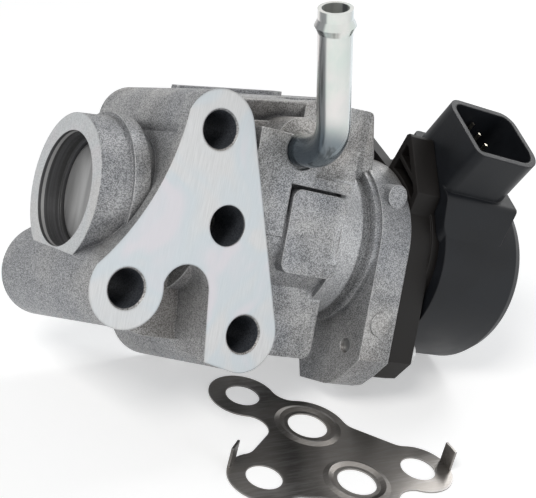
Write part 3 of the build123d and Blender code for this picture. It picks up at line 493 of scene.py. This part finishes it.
for name, obj in NODES.items():
    obj.data.materials.clear()
    obj.data.materials.append(FINISH.get(name, STEEL))


# ---------------------------------------------------------------- pieces of the scene
def piece(name, points, faces, finish):
    """A closed mesh, given in the valve's own millimetres, riding on the housing's body."""
    mesh = bpy.data.meshes.new(name)
    mesh.from_pydata([at(*p) for p in points], [], faces)
    mesh.validate()
    mesh.materials.append(finish)
    obj = bpy.data.objects.new(name, mesh)
    bpy.context.scene.collection.objects.link(obj)
    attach(obj, "valve_body")
    return obj


def tube_faces(rings, sides):
    """Faces of a tube of numbered rings of points, with its two ends closed."""
    faces = []
    for i in range(rings - 1):
        for k in range(sides):
            j = (k + 1) % sides
            faces.append((i * sides + k, i * sides + j, (i + 1) * sides + j, (i + 1) * sides + k))
    ends = tuple(reversed(range(sides))), tuple(range((rings - 1) * sides, rings * sides))
    return faces + list(ends)


def plate_gusset():
    """Three-cornered web on the motor plate, between its two ejector discs."""
    back = [(x, y + GUSSET_DEPTH, z) for x, y, z in GUSSET]
    gusset = piece("plate_gusset", list(GUSSET) + back, tube_faces(2, len(GUSSET)),
                   finish=FINISH["valve_housing"])
    bevel = gusset.modifiers.new("round", "BEVEL")
    bevel.width = GUSSET_ROUND / MM
    bevel.segments = 3
    bevel.limit_method = "ANGLE"


def spring_point(t):
    """Middle of the wire at a share t of the turns, and its outward direction."""
    first, last = SPRING_X[0] + WIRE_R, SPRING_X[1] - WIRE_R
    even = min(max((t - END_SHARE) / (1 - 2 * END_SHARE), 0.0), 1.0)
    eased = 0.5 - 0.5 * math.cos(math.pi * even)
    ends = (min(t, END_SHARE) + max(t - (1 - END_SHARE), 0.0)) / END_SHARE
    end_rise = 2 * WIRE_R * END_PITCH
    x = first + end_rise * ends + (last - first - 2 * end_rise) * (even + eased) / 2
    angle = 2 * math.pi * SPRING_TURNS * t
    out = Vector((0, math.cos(angle), math.sin(angle)))
    return Vector((x, BARREL_Y, BARREL_Z)) + SPRING_R * out, out


def spring_coil():
    """Compression spring with closed ends."""
    path = [spring_point(i / SPRING_STEPS) for i in range(SPRING_STEPS + 1)]
    points = []
    for i, (middle, out) in enumerate(path):
        run = path[min(i + 1, SPRING_STEPS)][0] - path[max(i - 1, 0)][0]
        side = run.normalized().cross(out).normalized()
        for k in range(WIRE_SIDES):
            turn = 2 * math.pi * k / WIRE_SIDES
            points.append(middle + WIRE_R * (math.cos(turn) * out + math.sin(turn) * side))
    spring = piece("spring_coil", points, tube_faces(len(path), WIRE_SIDES),
                   finish=STEEL)
    for face in spring.data.polygons:
        face.use_smooth = True
    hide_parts("return_spring")
    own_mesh(spring)


plate_gusset()
spring_coil()


# ---------------------------------------------------------------- floor, world, lamps, camera
WHITE = (1, 1, 1)
FLOOR_SIZE = 6.0                        # m
FLOOR_COLOUR = grey(0.86)
FLOOR_GLOW = 0.42
SKY_FILL, SKY_STRENGTH = (0.94, 0.97, 1.0), 0.30
CENTRE = Vector((0, 0, 0.05))           # what the lamps point at
LAMPS = (                               # name, place in m, size in m, watts, colour
    ("key", (-0.60, -0.30, 0.80), (0.35, 0.35), 4.2, (1.0, 0.98, 0.95)),
    ("front", (0.45, -0.85, 0.25), (0.5, 0.4), 1.1, (0.93, 0.97, 1.0)),
    ("rim", (0.7, 0.4, 0.7), (0.3, 0.4), 2.6, WHITE),
)
CAMERA_FROM_PORT = (-127.859, -206.379, 109.737)    # row axes, mm
CAMERA_RIGHT = (0.859732, -0.461721, 0.218345)
CAMERA_DOWN = (-0.031279, -0.474298, -0.879809)
FOCAL_PX, FRAME_PX = 1150.0, 536.0
SENSOR_MM = 36.0


def lay_floor():
    bpy.ops.mesh.primitive_plane_add(size=FLOOR_SIZE, location=(0, 0, 0))
    floor = bpy.context.object
    floor.name = "floor"
    m = Nodes("floor")
    m.set(Base_Color=(*FLOOR_COLOUR, 1), Roughness=0.9, Specular_IOR_Level=0.1,
          Emission_Color=(*WHITE, 1), Emission_Strength=FLOOR_GLOW)
    floor.data.materials.append(m.mat)


def surround():
    """White for what the camera sees, also mirrored or through; a soft fill for the rest."""
    world = bpy.data.worlds.new("world")
    bpy.context.scene.world = world
    world.use_nodes = True
    tree = world.node_tree
    back = tree.nodes["Background"]
    back.inputs["Color"].default_value = (*WHITE, 1)
    back.inputs["Strength"].default_value = 1.0
    fill = tree.nodes.new("ShaderNodeBackground")
    fill.inputs["Color"].default_value = (*SKY_FILL, 1)
    fill.inputs["Strength"].default_value = SKY_STRENGTH
    path = tree.nodes.new("ShaderNodeLightPath")
    seen = path.outputs["Is Camera Ray"]
    for ray in ("Is Glossy Ray", "Is Transmission Ray"):
        both = tree.nodes.new("ShaderNodeMath")
        both.operation = "MAXIMUM"
        tree.links.new(seen, both.inputs[0])
        tree.links.new(path.outputs[ray], both.inputs[1])
        seen = both.outputs[0]
    mix = tree.nodes.new("ShaderNodeMixShader")
    tree.links.new(seen, mix.inputs[0])
    tree.links.new(fill.outputs[0], mix.inputs[1])
    tree.links.new(back.outputs[0], mix.inputs[2])
    tree.links.new(mix.outputs[0], tree.nodes["World Output"].inputs["Surface"])


def lamp(name, spot, size, power, colour):
    data = bpy.data.lights.new(name, "AREA")
    data.shape = "RECTANGLE"
    data.size, data.size_y = size
    data.energy = power
    data.color = colour
    obj = bpy.data.objects.new(name, data)
    bpy.context.scene.collection.objects.link(obj)
    obj.location = spot
    obj.rotation_euler = (CENTRE - Vector(spot)).to_track_quat("-Z", "Y").to_euler()


def camera():
    data = bpy.data.cameras.new("camera")
    data.sensor_fit = "HORIZONTAL"
    data.sensor_width = SENSOR_MM
    data.lens = FOCAL_PX * SENSOR_MM / FRAME_PX
    data.clip_start, data.clip_end = 0.01, 20.0
    obj = bpy.data.objects.new("camera", data)
    bpy.context.scene.collection.objects.link(obj)
    right = Vector(CAMERA_RIGHT).normalized()
    ahead = right.cross(Vector(CAMERA_DOWN)).normalized()
    down = ahead.cross(right)
    turn = Matrix((right, -down, -ahead)).transposed().to_4x4()
    obj.matrix_world = Matrix.Translation(ORIGIN + Vector(CAMERA_FROM_PORT) / MM) @ turn
    bpy.context.scene.camera = obj


lay_floor()
surround()
camera()
for values in LAMPS:
    lamp(*values)
bpy.context.scene.view_settings.view_transform = "Standard"
